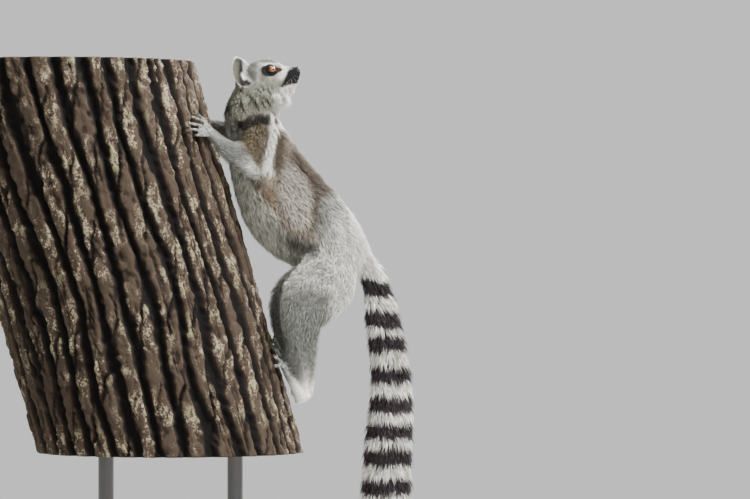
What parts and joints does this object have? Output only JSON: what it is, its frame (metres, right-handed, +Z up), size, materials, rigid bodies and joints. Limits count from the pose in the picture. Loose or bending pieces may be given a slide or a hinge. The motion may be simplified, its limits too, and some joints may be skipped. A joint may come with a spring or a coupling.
{
  "type": "ring-tailed lemur model",
  "caption": "Life-size still ring-tailed lemur clinging to a cut length of leaning tree trunk, looking back over its shoulder, on a plain display stand.",
  "frame": {"origin": "on the floor, under the middle of the whole model", "axes": "+X from the trunk out past the animal's back, +Y to the animal's right side as it faces the trunk, +Z up"},
  "size_m": [0.7553, 0.43, 0.9411],
  "materials": {
    "coat": "dense soft fur, grey-white to grey-brown",
    "tail_coat": "long soft fur ringed in black and white",
    "bare_skin": "bare black skin and nails",
    "eye": "wet eye with an orange iris",
    "bark": "deeply ridged dark bark, sawn ends",
    "stand_paint": "satin dark grey paint"
  },
  "bodies": {
    "root": {"head": "coat", "jaw": "coat", "nose": "bare_skin", "neck": "coat", "chest": "coat", "belly": "coat", "rump": "coat", "ear_left": "coat", "ear_right": "coat", "eye_left": "eye", "eye_right": "eye", "upper_arm_left": "coat", "upper_arm_right": "coat", "forearm_left": "coat", "forearm_right": "coat", "hand_left": "coat", "hand_right": "coat", "thigh_left": "coat", "thigh_right": "coat", "shank_left": "coat", "shank_right": "coat", "foot_left": "coat", "foot_right": "coat", "tail_1": "tail_coat", "tail_2": "tail_coat", "tail_3": "tail_coat", "tail_4": "tail_coat", "tail_5": "tail_coat", "tail_6": "tail_coat", "tree_trunk": "bark", "stand_base": "stand_paint", "stand_rod_a": "stand_paint", "stand_rod_b": "stand_paint"}
  },
  "joints": []
}
